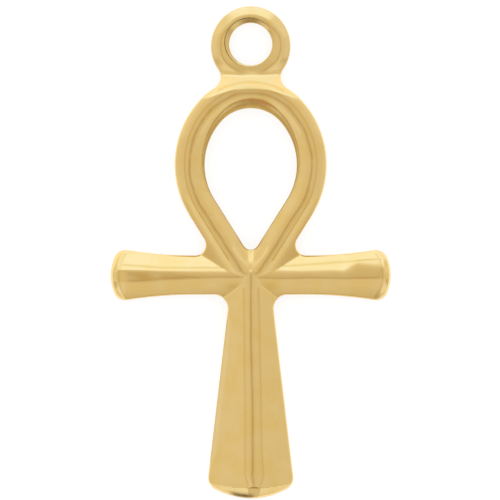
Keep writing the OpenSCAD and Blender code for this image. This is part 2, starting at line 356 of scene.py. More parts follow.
def leg_height(x, y):
    """A roof along the bead's crest, with a rounded foot and the tab at its end."""
    crest = np.interp(y, BEAD_Y, BEAD_CREST)
    left, right = np.interp(y, BEAD_Y, BEAD_LEFT), np.interp(y, BEAD_Y, BEAD_RIGHT)
    reach = np.where(x < crest, crest - left, right - crest)
    d = np.where(y < 0, np.abs(x - crest), np.hypot(x, LEG_TIP * y))
    z = roof(d, LEG_SLOPE, reach / math.sin(math.radians(LEG_SLOPE)), CREST)
    from_centre = np.where(y < foot_end[1], np.hypot(x, y - FOOT_CENTRE_Y), 0)
    z = z - rounding(from_centre - FOOT_CENTRE_Y - LEG_LENGTH + FOOT_ROUND, FOOT_ROUND, *FOOT_BEND)
    below = TAB_TOP - y
    lip = TAB_DEPTH * step(below, -TAB_LIP, TAB_LIP)
    tab = CREST - lip - tan_deg(TAB_SLOPE) * np.maximum(below, 0)
    return np.where(below > -TAB_LIP, soft_min(z, tab, TAB_BLEND), z)


def arm_height(x, y):
    """A flat or round crest, a steep upper flank, and a lower one that starts at a crease."""
    crease, level = np.interp(x, *ARM_CREASE), np.interp(x, *ARM_LEVEL)
    bend_r = np.interp(x, *ARM_BEND_R)
    above, below = np.maximum(y - crease, 0), np.maximum(crease - y, 0)
    up = roof(np.maximum(y - level, 0), ARM_UPPER_SLOPE, bend_r, CREST - ARM_DROP)
    up = up - ARM_CREST_TILT * (np.hypot(above, ARM_CREST_BEND) - ARM_CREST_BEND)
    up = up - soft_ramp(LEFT_END_X - x, LEFT_END_TILT, LEFT_END_BEND)
    down = soft_ramp(crease - y, tan_deg(ARM_LOWER_SLOPE), ARM_LOWER_BEND)
    down = down + below**2 / (2 * ARM_LOWER_R)
    rho = np.where(np.abs(x) > arm_end[0], np.hypot(np.abs(x) - arm_end[0], y), 0)
    return up - down - rounding(rho - ARM_END_R + ARM_ROUND, ARM_ROUND, *ARM_BEND)


def eye_height(x, y):
    """A disc with a crest line near its rim, a bevel outside it and a low slope to the hole."""
    upper, lower = step(y - eye[1], *EYE_UPPER), step(eye[1] - y, *EYE_LOWER)
    rho = np.hypot(x - eye[0], y - eye[1])
    d = rho - EYE_CREST_RHO + EYE_UPPER_SHIFT * upper + EYE_LOWER_SHIFT * lower
    bevel = roof(d, EYE_SLOPE, EYE_CREST_R + EYE_UPPER_MORE_R * upper, EYE_T)
    return np.where(d > 0, bevel, roof(d, EYE_INNER_SLOPE, EYE_CREST_R, EYE_T))


def bare_height(x, y):
    """Height of the front above the back, before its edges are rounded."""
    z = soft_max(loop_height(x, y), arm_height(x, y), VALLEY)
    z = soft_max(z, leg_height(x, y), VALLEY)
    return np.where(y > top[1], soft_max(z, eye_height(x, y), EYE_BLEND), z)


def groove_distance(x, y):
    """Distance to the nearest of the fine lines that run beside the crests."""
    ax = np.abs(x)
    off_bead = (y > BEAD_LINES_TO) | (y < BEAD_LINES_FROM)
    lines_and_gaps = (
        (loop_offset(ax, y) - LOOP_LINE, (y < LOOP_LINE_FROM) | (y > FACET_TOP + PAST_END)),
        (x - np.interp(y, BEAD_Y, BEAD_LEFT), off_bead),
        (x - np.interp(y, BEAD_Y, BEAD_RIGHT), off_bead),
        (y - TAB_TOP, (x < TAB_LEFT - PAST_END) | (x > TAB_RIGHT + PAST_END)),
        (y - np.interp(x, *ARM_LINE), (ax < ARM_LINE_FROM) | (ax > ARM_LINE_TO)),
        (
            np.hypot(ax - arm_end[0], y) - ARM_END_R + ARM_ROUND,
            (ax < arm_end[0]) | (np.abs(y) > END_LINE_TO),
        ),
        (
            np.hypot(x, y - top[1]) - crest_top_r - NECK_LINE,
            (ax > NECK_LINE_TO) | (y < top[1]),
        ),
    )
    return np.minimum.reduce([np.abs(d) + NOT_HERE * gap for d, gap in lines_and_gaps])


def waves(x, y):
    size = WAVE_SIZE - LEG_CALMER * step(-y, *LEG_CALMS)
    return size * sum(part * np.sin(kx * x + ky * y + phase) for part, kx, ky, phase in WAVES)


def height(x, y):
    """Height of the front with its fine lines and unevenness."""
    groove = GROOVE_DEPTH * np.exp(-((groove_distance(x, y) / GROOVE_W) ** 2))
    on_arm = step(np.abs(x), *ARM_FADES_X) * step(y, *ARM_FADES_Y)
    strength = 1 - LOOP_TOP_FADE * step(y, *LOOP_TOP_FADES) - ARM_FADE * on_arm
    return bare_height(x, y) - groove * strength + waves(x, y)


def gradient(x, y):
    e = 1e-3
    return np.stack(
        [
            (height(x + e, y) - height(x - e, y)) / (2 * e),
            (height(x, y + e) - height(x, y - e)) / (2 * e),
        ],
        1,
    )


# ---------------------------------------------------------------- edges

# Each edge is made of rings of points, from the wall to the front. A ring has its inset and drop,
# the slope there, and how much of the front's own tilt it has.
ROUND_STEPS = 8  # rings across a rounded edge
EDGE = 0.12  # width and drop of the outer edge
LEFT_LEG_W, LEFT_LEG_DROP = 0.30, 0.05  # more along the leg's left side
LEFT_LEG_X, LEFT_LEG_TOP, LEFT_LEG_FOOT = (-1.2, -1.5), (-2.8, -3.6), (-13.6, -12.8)
ENDS_W, ENDS_DROP = 0.04, 0.18  # more at the foot and the arms' ends
FOOT_AT_Y, ENDS_AT_X = (-14.9, -15.3), (9.1, 9.5)
ON_EYE_W, EYE_AT_Y = 0.1, (14.2, 15.2)  # more round the eye
OUTER_SMOOTH, OPENING_SMOOTH = 4, 6  # points to each side that widths are averaged over
# The opening's edge by bearing from the middle of its top: steep there, hardly there on the limbs.
OPENING_W = (-70, -40, -10, 10, 30, 50, 70, 90), (0.1, 0.12, 0.2, 0.27, 0.36, 0.44, 0.58, 0.64)
OPENING_DROP, OPENING_START_DEG = 0.62, 38
# The hole's countersink is widest on one side. Its outer part is a steep, dark crease.
HOLE_EDGE_W, HOLE_EDGE_MORE, CREASE_SIDE_DEG = 0.22, 0.16, 140
CREASE = 0.24  # part of the width that is the crease
CONE_SLOPE, CREASE_SLOPE, CONE_DROP = 0.65, 0.7, 0.18
CONE_RINGS, CREASE_RINGS = (0, 0.25, 0.5, 0.75, 1), (0.6, 0.35, 0.15, 0)
DARK_CREASE_RINGS = 2

BACK_R = 0.12  # radius of the edge round the flat back
BACK_TURNS = (0, 30, 60, 90)


def smooth_round(values, reach):
    """Values round a closed outline, averaged over reach points to each side."""
    window = np.hanning(2 * reach + 3)[1:-1]
    window /= window.sum()
    wrapped = np.concatenate([values[-reach:], values, values[:reach]])
    return np.convolve(wrapped, window, "valid")


def rounded_edge(width, drop, start_deg):
    """Rings of an edge that bends from start_deg to the front."""
    c0, s0 = heading(start_deg)
    for turn in np.linspace(start_deg, 90, ROUND_STEPS + 1):
        c, s = heading(turn)
        slope = drop * c0 * c / (width * (1 - s0))
        yield width * (c0 - c) / c0, drop * (1 - s) / (1 - s0), slope, s


def outer_edge(x, y):
    left_leg = step(x, *LEFT_LEG_X) * step(y, *LEFT_LEG_TOP) * step(y, *LEFT_LEG_FOOT)
    at_ends = step(y, *FOOT_AT_Y) + step(np.abs(x), *ENDS_AT_X)
    on_eye = step(y, *EYE_AT_Y)
    width = EDGE + LEFT_LEG_W * left_leg + ENDS_W * at_ends + ON_EYE_W * on_eye
    drop = EDGE + LEFT_LEG_DROP * left_leg + ENDS_DROP * at_ends
    return rounded_edge(smooth_round(width, OUTER_SMOOTH), smooth_round(drop, OUTER_SMOOTH), 0)


def opening_edge(x, y):
    bearing = np.degrees(np.arctan2(y - top[1], np.abs(x)))
    width = smooth_round(np.interp(bearing, *OPENING_W), OPENING_SMOOTH)
    return rounded_edge(width, OPENING_DROP * width, OPENING_START_DEG)


def hole_edge(x, y):
    bearing = np.arctan2(y - hole[1], x - hole[0])
    width = HOLE_EDGE_W + HOLE_EDGE_MORE * np.cos(bearing - math.radians(CREASE_SIDE_DEG))
    cone = width * (1 - CREASE)
    for f in CONE_RINGS:
        drop = CONE_DROP * width + CONE_SLOPE * cone * (1 - f)
        yield cone * f, drop, np.full(len(x), CONE_SLOPE), 1
    for f in CREASE_RINGS:
        drop = CREASE_SLOPE * CREASE * f * width
        yield width * (1 - CREASE * f), drop, np.full(len(x), float(f > 0)), 1


# How dull the gold is and how much dark residue it has: painted shade, but for the walls' even
# dullness. Dull above 1 is reddish. On the outer edge the painted shade fades upwards, and the side
# that faces the top of the picture has less of it.
LOWER_WALL_SHADE, INNER_WALL_SHADE, WALL_DULL = 0.45, 0.3, 1.0
OUTER_SHADE, OUTER_SHADE_BELOW, OUTER_SHADE_FADES = 0.35, 0.65, 2.5
OUTER_DARK_SHADE = 0.5
FACES_DOWN, NOT_UP = (0, 0.8), (-0.4, 0.6)  # how far down an outline's outward direction points
# The opening's painted shade: heights between which its upper part starts, and the painted brown
# line of shade along its rim.
UPPER_PART = (4.5, 8.5)
OPENING_SHADE, OPENING_SHADE_ABOVE, OPENING_SHADE_FADES = 0.3, 0.7, 0.3
OPENING_DARK_SHADE = 0.35
BROWN_AT, BROWN_W, BROWN_LINE_SHADE, BROWN_LINE_DARK_SHADE = 0.8, 0.07, 0.8, 0.2
# The hole's painted shade by bearing, on the cone and in the crease, with a thinner place in the
# crease.
HOLE_SHADE, HOLE_SHADE_MORE = 0.3, 0.15
CONE_DARK_SHADE, CONE_FROM, CONE_TO = 0.35, (40, 75), (140, 105)
CREASE_DARK_SHADE, CREASE_FROM, CREASE_TO = 0.9, (35, 70), (250, 200)
THIN_LESS, THIN_DEG, THIN_W_DEG = 0.35, 155, 18


# The three below give the painted shade, as dull and residue, on ring n of an edge, f of the way
# from wall to front.
def outer_painted_shade(n, f, xy, out):
    """Painted shade on the rounding, strongest near the wall and on the side that faces the bottom
    of the picture.
    """
    down = -out[:, 1]
    dull_and_shade = (1 - f) ** OUTER_SHADE_FADES * (OUTER_SHADE + OUTER_SHADE_BELOW * step(down, *NOT_UP))
    return dull_and_shade, OUTER_DARK_SHADE * (1 - f) ** 2 * step(down, *FACES_DOWN)


def opening_painted_shade(n, f, xy, out):
    """Painted shade: dull all over, most of all round the top, where a thin painted brown line of
    shade runs along the rim.
    """
    above = step(xy[:, 1], *UPPER_PART)
    brown = above * math.exp(-(((f - BROWN_AT) / BROWN_W) ** 2))
    dull_and_shade = (1 - OPENING_SHADE_FADES * f) * (OPENING_SHADE + OPENING_SHADE_ABOVE * above)
    return dull_and_shade + BROWN_LINE_SHADE * brown, OPENING_DARK_SHADE * (1 - f) ** 3 + BROWN_LINE_DARK_SHADE * brown


def hole_painted_shade(n, f, xy, out):
    """Painted shade: dull all round, darkest on the cone at its top and in the crease along most of
    its left half.
    """
    bearing = np.degrees(np.arctan2(xy[:, 1] - hole[1], xy[:, 0] - hole[0])) % 360
    dull_and_shade = HOLE_SHADE + HOLE_SHADE_MORE * np.cos(np.radians(bearing - CREASE_SIDE_DEG))
    if n < len(CONE_RINGS):
        return dull_and_shade, CONE_DARK_SHADE * step(bearing, *CONE_FROM) * step(bearing, *CONE_TO)
    dark = n < len(CONE_RINGS) + DARK_CREASE_RINGS
    thin = np.exp(-(((bearing - THIN_DEG) / THIN_W_DEG) ** 2))
    along_crease = step(bearing, *CREASE_FROM) * step(bearing, *CREASE_TO)
    return dull_and_shade, (CREASE_DARK_SHADE - THIN_LESS * thin) * dark * along_crease


# ---------------------------------------------------------------- mesh

GRID = 0.075  # between points on the front
LINE_OFFSETS = np.array([-0.125, -0.07, -0.035, 0, 0.035, 0.07, 0.125])  # rows along a fine line
# Where the rows start or end, close to the ends of the fine lines.
BEAD_ROWS, END_ROWS, NECK_ROWS, LOOP_ROWS, ROW_SHORT = (-14.9, -0.95), 1.6, 2.3, 1.9, 0.05
LINE_CLEAR, GRID_CLEAR = 0.35 * GRID, 0.6 * GRID  # how far they keep from the points before them
GRID_SHIFT = 0.25  # every other row of the grid is this part of a step to the right, others left
ON_FRONT = 0.2  # the least upward part of a normal on the front

points, normals, faces = [], [], []
edges_worn, edges_dull_and_shade, edges_residue_and_shade = [], [], []


def add(xyz, nrm, worn, dull_and_shade=0.0, residue_and_shade=0.0):
    """Adds points and gives the number of the first."""
    first = sum(len(p) for p in points)
    points.append(xyz)
    # On the first ring of the outer edge they have no length, and Blender works them out itself.
    length = np.linalg.norm(nrm, axis=1, keepdims=True)
    normals.append(nrm / np.where(length > 0, length, 1))
    for kept, value in ((edges_worn, worn), (edges_dull_and_shade, dull_and_shade), (edges_residue_and_shade, residue_and_shade)):
        kept.append(np.broadcast_to(value, len(xyz)))
    return first


def strip(a, b, count):
    """Quads between two rings of count points that start at a and b."""
    i = np.arange(count)
    j = (i + 1) % count
    faces.extend(np.stack([a + i, a + j, b + j, b + i], 1).tolist())


def lifted(xy, z):
    return np.column_stack([xy, np.broadcast_to(z, len(xy))])


front_rings, back_rings = [], []
for outline, edge, painted_shade in (
    (outer_outline(), outer_edge, outer_painted_shade),
    (loop_outline(), opening_edge, opening_painted_shade),
    (hole_outline(), hole_edge, hole_painted_shade),
):
    at, out = outline[:, :2], outline[:, 2:]
    count = len(at)
    previous = None
    # Painted shade on the walls: all round the openings, and on the outer wall where it faces the
    # bottom of the picture.
    wall_shade = INNER_WALL_SHADE
    if edge is outer_edge:
        wall_shade = LOWER_WALL_SHADE * step(-out[:, 1], *FACES_DOWN)
    for turn in BACK_TURNS:
        c, s = heading(turn)
        ring = add(
            lifted(at - BACK_R * (1 - s) * out, BACK_R * (1 - c)),
            np.hstack([s * out, np.full((count, 1), -c)]),
            s * c,
            WALL_DULL,
            wall_shade,
        )
        if previous is None:
            back_rings.append((ring, count))
        else:
            strip(previous, ring, count)
        previous = ring
    rings = list(edge(at[:, 0], at[:, 1]))
    for n, (inset, drop, slope, up) in enumerate(rings):
        xy = at - inset[:, None] * out
        z = height(xy[:, 0], xy[:, 1]) - drop
        tilt = -gradient(xy[:, 0], xy[:, 1]) * up + (slope * up)[:, None] * out
        f = (n + 1) / (len(rings) + 1)
        nrm = np.hstack([tilt, np.full((count, 1), float(up))])
        ring = add(lifted(xy, z), nrm, math.sin(math.pi * f), *painted_shade(n, f, xy, out))
        strip(previous, ring, count)
        previous = ring
    front_rings.append((previous, count))

xyz = np.vstack(points)


def inside(px, py, loop):
    """Which points lie inside a closed polygon."""
    hits = np.zeros(len(px), bool)
    for (x0, y0), (x1, y1) in zip(loop, np.roll(loop, -1, 0)):
        if y0 != y1:
            span = (y0 > py) != (y1 > py)
            hits[span] ^= px[span] < x0 + (py[span] - y0) * (x1 - x0) / (y1 - y0)
    return hits


def in_metal(px, py, rings):
    loops = [xyz[s : s + n, :2] for s, n in rings]
    return inside(px, py, loops[0]) & ~inside(px, py, loops[1]) & ~inside(px, py, loops[2])


def clear_of(px, py, other_x, other_y, distance):
    """Which points are farther than distance from all the others."""
    tree = KDTree(len(other_x))
    for i, (ox, oy) in enumerate(zip(other_x, other_y)):
        tree.insert((ox, oy, 0), i)
    tree.balance()
    return np.array([tree.find((ax, ay, 0))[2] > distance for ax, ay in zip(px, py)])


def rows(x, y, across_x, across_y, offsets=LINE_OFFSETS):
    """Points along a line and beside it."""
    o = offsets[:, None]
    return (x + o * across_x).ravel(), (y + o * across_y).ravel()


# The front between the rounded edges: rows of points along the fine lines, and a grid for the rest.
leg_y = np.arange(*BEAD_ROWS, GRID)
arm_x = np.arange(ARM_LINE_FROM + ROW_SHORT, ARM_LINE_TO - ROW_SHORT, GRID)
arm_x = np.concatenate([-arm_x[::-1], arm_x])
tab_x = np.arange(TAB_LEFT - ROW_SHORT, TAB_RIGHT + ROW_SHORT, GRID)
end_y = np.arange(-END_ROWS, END_ROWS, GRID)
end_x = arm_end[0] + np.sqrt((ARM_END_R - ARM_ROUND) ** 2 - end_y**2)
neck_x = np.arange(-NECK_ROWS, NECK_ROWS, GRID)
neck_y = top[1] + np.sqrt((crest_top_r + NECK_LINE) ** 2 - neck_x**2)
limb_along = np.array([-limb_out[1], limb_out[0]])
crest_line = np.vstack(
    [
        line(limb_start + LOOP_ROWS * limb_along, limb_end, limb_out),
        arc(side, crest_side_r, -limb_deg, join_deg),
        arc(top, crest_top_r, join_deg, 90),
    ]
)
drawn = [
    rows(np.interp(leg_y, BEAD_Y, BEAD_LEFT), leg_y, 1, 0),
    rows(np.interp(leg_y, BEAD_Y, BEAD_RIGHT), leg_y, 1, 0),
    rows(arm_x, np.interp(arm_x, *ARM_LINE), 0, 1),
    rows(tab_x, np.full(len(tab_x), TAB_TOP), 0, 1),
    rows(end_x, end_y, 1, 0),
    rows(-end_x, end_y, 1, 0),
    rows(neck_x, neck_y, 0, 1),
]
for mirror in (1, -1):
    cx, cy, out_x, out_y = (crest_line * [mirror, 1, mirror, 1]).T
    drawn.append(rows(cx, cy, out_x, out_y, LINE_OFFSETS + LOOP_LINE))
lx, ly = (np.concatenate(v) for v in zip(*drawn))
gx, gy = np.meshgrid(
    np.arange(-ARM_REACH, ARM_REACH, GRID) + GRID / 2,
    np.arange(-LEG_LENGTH, eye[1] + EYE_R, GRID),
)
odd_row = np.arange(gx.shape[0]) % 2
gx = (gx + np.where(odd_row, GRID_SHIFT, -GRID_SHIFT)[:, None] * GRID).ravel()
gy = gy.ravel()
keep = in_metal(lx, ly, front_rings)
lx, ly = lx[keep], ly[keep]
keep = in_metal(gx, gy, front_rings)
gx, gy = gx[keep], gy[keep]
ring_x, ring_y = np.vstack([xyz[s : s + n, :2] for s, n in front_rings]).T
keep = clear_of(lx, ly, ring_x, ring_y, LINE_CLEAR)
lx, ly = lx[keep], ly[keep]
keep = clear_of(gx, gy, np.concatenate([ring_x, lx]), np.concatenate([ring_y, ly]), GRID_CLEAR)
gx, gy = np.concatenate([lx, gx[keep]]), np.concatenate([ly, gy[keep]])
grid_first = add(
    lifted(np.column_stack([gx, gy]), height(gx, gy)),
    np.column_stack([-gradient(gx, gy), np.ones(len(gx))]),
    0.0,
)


def fill(rings, extra_first, extra_count, up):
    """Triangles between rings and over loose points, seen from above or from below."""
    loose = np.arange(extra_first, extra_first + extra_count)
    index = np.concatenate([np.arange(s, s + n) for s, n in rings] + [loose])
    flat = np.vstack(points)[index, :2]
    edges, base = [], 0
    for _, n in rings:
        edges += [(base + i, base + (i + 1) % n) for i in range(n)]
        base += n
    made = delaunay_2d_cdt([Vector(v) for v in flat.tolist()], edges, [], 0, 1e-9)
    where = np.array([v[:] for v in made[0]])
    assert len(where) == len(flat), (len(where), len(flat))
    source = np.array([o[0] for o in made[3]])
    tris = np.array(made[2])
    mid = where[tris].mean(1)
    tris = tris[in_metal(mid[:, 0], mid[:, 1], rings)]
    a, b, c = (where[tris[:, i]] for i in range(3))
    turn = (b[:, 0] - a[:, 0]) * (c[:, 1] - a[:, 1]) - (b[:, 1] - a[:, 1]) * (c[:, 0] - a[:, 0])
    flip = (turn > 0) != up
    tris[flip] = tris[flip][:, ::-1]
    faces.extend(index[source[tris]].tolist())


fill(front_rings, grid_first, len(gx), True)
fill(back_rings, 0, 0, False)

xyz = np.vstack(points)
nrm = np.vstack(normals)
px, py = xyz[:, 0].copy(), xyz[:, 1].copy()
on_front = nrm[:, 2] > ON_FRONT

ON_ARM_Y, ON_ARM_FLARE, ON_ARM_X = 1.3, 0.06, 1.2  # where the marks run along the arms
ARM_GRAIN, LEG_GRAIN = 7.0, 13.0  # keep the marks of one limb from running on into the next
LINE_TINT_W = 0.085
# Painted shade inside the loop's top, a dull reddish patch: bearing, offset from the crest line,
# and its widths.
TOP_SHADE_DEG, TOP_SHADE_W_DEG, TOP_SHADE_OFFSET, TOP_SHADE_W = 76, 15, -0.55, 0.24
# Painted shadow in the corners between arms and leg: strength, place, widths, and the slanting line
# it ends at.
CORNER_SHADOW, CORNER_X, CORNER_Y, CORNER_W, CORNER_H = 0.75, 1.2, -0.85, 0.75, 0.38
MITRE_Y, MITRE_SLOPE, MITRE_STEP = -0.15, 0.75, (-0.03, 0.05)
# A dark spot on the foot's rim: strength, place, widths, and what it stays off.
SPOT_RESIDUE, SPOT_X, SPOT_RISE, SPOT_W, SPOT_H = 0.95, -0.62, 0.18, 0.82, 0.17
SPOT_MIN_UP, SPOT_BELOW_Y = 0.05, -14

# Lengths along and across the nearest limb, in millimetres, for the polishing marks.
offset = loop_offset(np.abs(px), py)
around = np.arctan2(py - top[1], px) * crest_top_r
on_arm = (np.abs(py) < ON_ARM_Y + ON_ARM_FLARE * np.abs(px)) & (np.abs(px) > ON_ARM_X)
on_leg = (py < 0) & ~on_arm
along = np.where(on_arm, px, np.where(on_leg, py, around))
across = np.where(on_arm, py, np.where(on_leg, px, offset))
grain = np.column_stack([along, across, ARM_GRAIN * on_arm + LEG_GRAIN * on_leg])


def spot(u, v, power=2):
    """A soft spot, 1 in its middle. A power above 2 makes it flatter and crisper along u."""
    return np.exp(-(u**power) - v**2)


lines = np.exp(-((groove_distance(px, py) / LINE_TINT_W) ** 2)) * on_front
# Dull and residue hold painted shade, besides the walls' even dullness and the foot's dark spot.
dull_and_shade, residue_and_shade = np.concatenate(edges_dull_and_shade), np.concatenate(edges_residue_and_shade)
turned = np.degrees(np.arctan2(py - top[1], px)) - TOP_SHADE_DEG
# Painted shade on the loop's inner top, as a dull reddish patch.
dull_and_shade = dull_and_shade + spot(turned / TOP_SHADE_W_DEG, (offset - TOP_SHADE_OFFSET) / TOP_SHADE_W) * on_front
# Painted shadow in the corners between arms and leg, as dullness past the slanting line.
past_mitre = step(py - MITRE_Y + MITRE_SLOPE * np.abs(px), *MITRE_STEP)
corner = spot((np.abs(px) - CORNER_X) / CORNER_W, (py - CORNER_Y) / CORNER_H)
dull_and_shade += CORNER_SHADOW * past_mitre * on_front * corner
rim_y = foot_end[1] - np.sqrt(np.maximum(FOOT_END_R**2 - px**2, 0))
foot_spot = spot((px - SPOT_X) / SPOT_W, (py - rim_y - SPOT_RISE) / SPOT_H, 4)
foot_spot *= (nrm[:, 2] > SPOT_MIN_UP) & (py < SPOT_BELOW_Y)
residue_and_shade = np.maximum(residue_and_shade, SPOT_RESIDUE * foot_spot)

xyz[:, 1] += crossing_y
mesh = bpy.data.meshes.new("pendant")
mesh.from_pydata((xyz * MM).tolist(), [], faces)
for name, kind, key, values in (
    ("grain", "FLOAT_VECTOR", "vector", grain),
    ("worn", "FLOAT", "value", np.concatenate(edges_worn)),
    ("lines", "FLOAT", "value", lines),
    ("dull_and_shade", "FLOAT", "value", dull_and_shade),
    ("residue_and_shade", "FLOAT", "value", residue_and_shade),
):
    attribute = mesh.attributes.new(name, kind, "POINT")
    attribute.data.foreach_set(key, values.ravel().astype(np.float32))
mesh.validate()
mesh.polygons.foreach_set("use_smooth", [True] * len(mesh.polygons))
mesh.normals_split_custom_set_from_vertices(nrm.tolist())
pendant = bpy.data.objects.new("pendant", mesh)
bpy.context.scene.collection.objects.link(pendant)
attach(pendant, "root")
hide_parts("ankh")

# ---------------------------------------------------------------- materials

# Colours of the metal, as linear light.
GOLD_DEEP, GOLD_PALE = (0.98, 0.675, 0.225, 1), (1.0, 0.715, 0.285, 1)
GOLD_STREAKS = (1.0, 0.72, 0.31, 1)
GOLD_LINES = (0.80, 0.50, 0.115, 1)
GOLD_RUBBED = (1.0, 0.80, 0.45, 1)
# The tarnish colours and the dark residue colour paint shade as well as real tarnish and dirt.
TARNISH_AND_SHADE, RED_TARNISH_AND_SHADE = (0.78, 0.53, 0.125, 1), (0.78, 0.37, 0.10, 1)
RESIDUE_AND_SHADE_COLOUR = (0.115, 0.062, 0.012, 1)

# From which value to which a noise shows each colour, and how much of the colour it then adds.
PALE_AT = 0.3, 0.7
STREAKS_AT, STREAKS_MIX = (0.35, 0.75), 0.5
LINES_MIX = 0.5
TARNISH_AND_SHADE_AT, TARNISH_AND_SHADE_MIX = (0.3, 0.7), (0.7, 0.95)
RED_AT = 0.9, 1.6  # how dull the gold is where it turns reddish
RUB_AT, RUB_MIX = (0.35, 0.7), 0.5
RESIDUE_AND_SHADE_AT, RESIDUE_AND_SHADE_MIX = (0.25, 0.5), (0.4, 1.0)

# Scales per millimetre: polishing marks and finer scratches, along and across a limb, and
# unevenness of three sizes in the metal.
MARKS, SCRATCHES = (0.5, 9, 1), (1.5, 45, 1)
MOTTLE, BLOTCHES, PITS = 0.7, 2.2, 14.0
ROUGHNESS = 0.10
MOTTLE_ROUGH, SCRATCH_ROUGH, WORN_ROUGH, DULL_ROUGH = 0.06, 0.05, 0.05, 0.16
SCRATCH_BUMP, PIT_BUMP = 0.4, 0.25  # beside the marks, which count fully
BUMP_STRENGTH, BUMP_DISTANCE = 0.25, 0.000004


class Nodes:
    """Short calls that add nodes to one tree and join them."""

    def __init__(self, tree):
        self.tree = tree

    def add(self, kind, inputs=None, **settings):
        node = self.tree.nodes.new("ShaderNode" + kind)
        for key, value in settings.items():
            setattr(node, key, value)
        for key, value in (inputs or {}).items():
            self.set(node.inputs[key], value)
        return node

    def set(self, socket, value):
        if isinstance(value, bpy.types.NodeSocket):
            self.tree.links.new(value, socket)
        else:
            socket.default_value = value

    def math(self, operation, *values, clamp=False):
        inputs = dict(enumerate(values))
        return self.add("Math", inputs, operation=operation, use_clamp=clamp).outputs[0]

    def ramp(self, value, a, b, low=0.0, high=1.0):
        """value from a to b becomes low to high, smoothly."""
        return self.add(
            "MapRange",
            {"Value": value, "From Min": a, "From Max": b, "To Min": low, "To Max": high},
            interpolation_type="SMOOTHSTEP",
        ).outputs["Result"]

    def mix(self, factor, a, b, blend="MIX"):
        node = self.add("Mix", data_type="RGBA", blend_type=blend)
        self.set(node.inputs[0], factor)
        self.set(node.inputs[6], a)
        self.set(node.inputs[7], b)
        return node.outputs[2]

    def noise(self, vector, scale, detail=2.0, roughness=0.5):
        inputs = {"Vector": vector, "Scale": scale, "Detail": detail, "Roughness": roughness}
        return self.add("TexNoise", inputs).outputs["Fac"]

    def scaled(self, vector, scale):
        return self.add("Mapping", {"Vector": vector, "Scale": scale}).outputs[0]

    def attribute(self, name, output="Fac"):
        return self.add("Attribute", attribute_name=name).outputs[output]


def gold_material():
    material = bpy.data.materials.new("gold")
    material.use_nodes = True
    n = Nodes(material.node_tree)
    shader = material.node_tree.nodes["Principled BSDF"]

    where = n.scaled(n.add("TexCoord").outputs["Object"], (1 / MM,) * 3)
    streaks = n.noise(n.scaled(n.attribute("grain", "Vector"), MARKS), 1.0, 3.0)
    scratches = n.noise(n.scaled(n.attribute("grain", "Vector"), SCRATCHES), 1.0, 2.0)
    mottle = n.noise(where, MOTTLE, 3.0)
    blotches = n.noise(where, BLOTCHES, 3.0)
    pits = n.noise(where, PITS, 2.0, 0.6)
    worn, lines, dull_and_shade = n.attribute("worn"), n.attribute("lines"), n.attribute("dull_and_shade")

    colour = n.mix(n.ramp(mottle, *PALE_AT), GOLD_DEEP, GOLD_PALE)
    in_streaks = n.math("MULTIPLY", n.ramp(streaks, *STREAKS_AT), STREAKS_MIX)
    colour = n.mix(in_streaks, colour, GOLD_STREAKS)
    colour = n.mix(n.math("MULTIPLY", lines, LINES_MIX), colour, GOLD_LINES)
    # Dull paints shade in tarnish colours, besides the walls' even dullness.
    tarnish_and_shade_amount = n.math("MULTIPLY", dull_and_shade, n.ramp(blotches, *TARNISH_AND_SHADE_AT, *TARNISH_AND_SHADE_MIX), clamp=True)
    tarnish_and_shade_colour = n.mix(n.ramp(dull_and_shade, *RED_AT), TARNISH_AND_SHADE, RED_TARNISH_AND_SHADE)
    colour = n.mix(tarnish_and_shade_amount, colour, tarnish_and_shade_colour)
    rub = n.math("MULTIPLY", worn, n.ramp(pits, *RUB_AT))
    colour = n.mix(n.math("MULTIPLY", rub, RUB_MIX), colour, GOLD_RUBBED)
    # Residue paints dark shade, besides the foot's dark spot.
    in_pits = n.ramp(pits, *RESIDUE_AND_SHADE_AT, *RESIDUE_AND_SHADE_MIX)
    residue_and_shade = n.math("MULTIPLY", n.attribute("residue_and_shade"), in_pits)
    colour = n.mix(residue_and_shade, colour, RESIDUE_AND_SHADE_COLOUR)
    n.set(shader.inputs["Base Color"], colour)
    shader.inputs["Metallic"].default_value = 1

    rough = n.math("MULTIPLY_ADD", mottle, MOTTLE_ROUGH, ROUGHNESS)
    rough = n.math("MULTIPLY_ADD", scratches, SCRATCH_ROUGH, rough)
    rough = n.math("MULTIPLY_ADD", worn, WORN_ROUGH, rough)
    rough = n.math("MULTIPLY_ADD", dull_and_shade, DULL_ROUGH, rough)
    n.set(shader.inputs["Roughness"], rough)

    relief = n.math("MULTIPLY_ADD", scratches, SCRATCH_BUMP, streaks)
    relief = n.math("MULTIPLY_ADD", pits, PIT_BUMP, relief)
    bump = {"Strength": BUMP_STRENGTH, "Distance": BUMP_DISTANCE, "Height": relief}
    n.set(shader.inputs["Normal"], n.add("Bump", bump).outputs[0])
    return material


mesh.materials.append(gold_material())

# ---------------------------------------------------------------- floor, light, camera

FLOOR_HALF = 1.5
FLOOR_GREY, FLOOR_GLOW, FLOOR_ROUGHNESS = 0.25, 0.80, 0.9

corners = [(-1, -1), (1, -1), (1, 1), (-1, 1)]
floor_mesh = bpy.data.meshes.new("floor")
floor_mesh.from_pydata(
    [(x * FLOOR_HALF, y * FLOOR_HALF, 0) for x, y in corners], [], [(0, 1, 2, 3)]
)
floor = bpy.data.objects.new("floor", floor_mesh)
bpy.context.scene.collection.objects.link(floor)
white = bpy.data.materials.new("floor_white")
white.use_nodes = True
shader = white.node_tree.nodes["Principled BSDF"]
shader.inputs["Base Color"].default_value = (FLOOR_GREY, FLOOR_GREY, FLOOR_GREY, 1)
shader.inputs["Roughness"].default_value = FLOOR_ROUGHNESS
shader.inputs["Specular IOR Level"].default_value = 0.0
shader.inputs["Emission Color"].default_value = (1, 1, 1, 1)
shader.inputs["Emission Strength"].default_value = FLOOR_GLOW
floor_mesh.materials.append(white)

